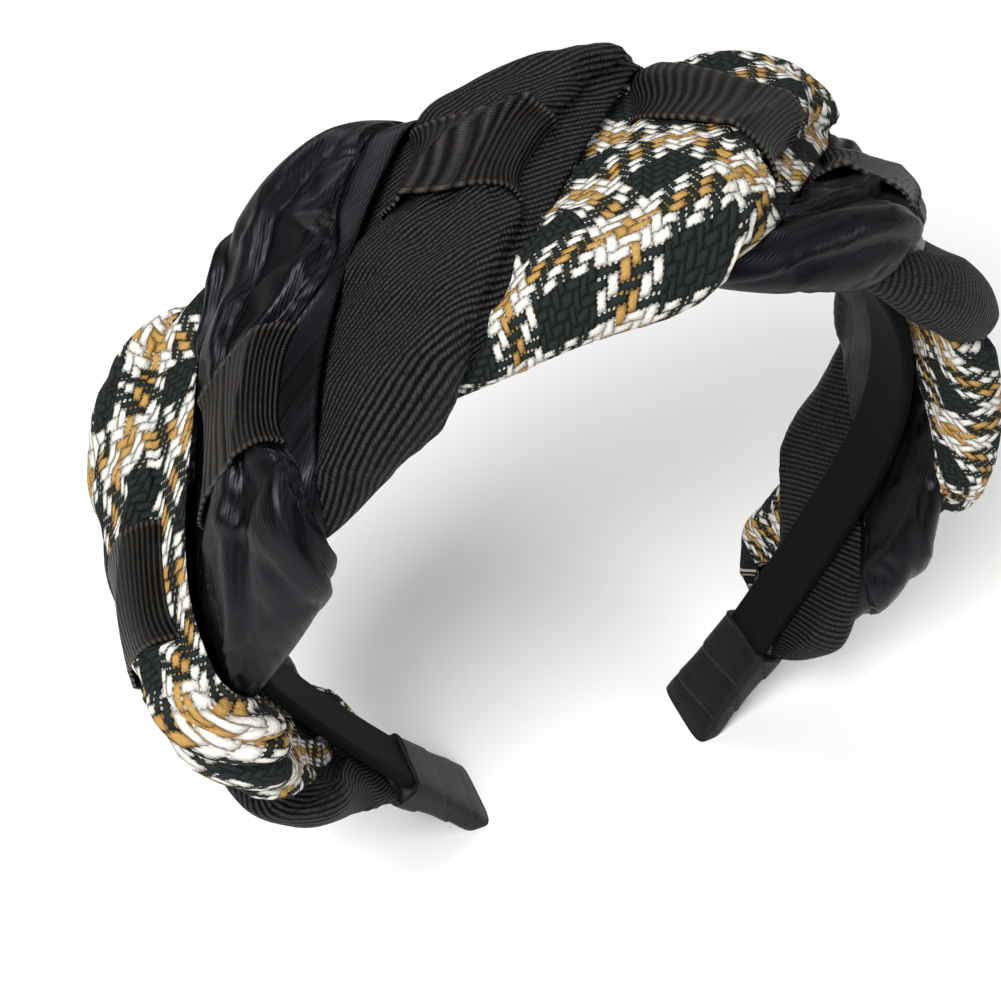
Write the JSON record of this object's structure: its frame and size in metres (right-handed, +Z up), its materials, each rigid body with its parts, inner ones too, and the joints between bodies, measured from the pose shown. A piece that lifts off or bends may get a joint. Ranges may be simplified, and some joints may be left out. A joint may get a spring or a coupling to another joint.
{
  "type": "braided headband",
  "caption": "Wide padded headband braided from tweed, satin and ribbed strands over a covered hoop, with narrow ribbon ties and ribbon-wrapped ends.",
  "frame": {"origin": "on the surface the headband stands on, under the middle of its outline", "axes": "+X from ear to ear, to the right seen from the near edge; +Y from the near edge of the braid to the far edge; +Z up to the crown"},
  "size_m": [0.1626, 0.0638, 0.1562],
  "materials": {
    "hoop_cover": "matt black ribbon over a hard hoop",
    "tweed": "chunky black, cream and tan plaid weave",
    "satin": "blue-black satin with a soft sheen",
    "ribbed": "black cloth with fine double ribs",
    "grosgrain": "black cross-ribbed ribbon",
    "end_ribbon": "dark satin ribbon"
  },
  "bodies": {
    "root": {"hoop": "hoop_cover", "tweed_strand": "tweed", "satin_strand": "satin", "ribbed_strand": "ribbed", "ribbon_tie_1": "grosgrain", "ribbon_tie_2": "grosgrain", "ribbon_tie_3": "grosgrain", "ribbon_tie_4": "grosgrain", "ribbon_tie_5": "grosgrain", "ribbon_tie_6": "grosgrain", "ribbon_tie_7": "grosgrain", "ribbon_tie_8": "grosgrain", "end_wrap_left": "end_ribbon", "end_wrap_right": "end_ribbon"}
  },
  "joints": []
}
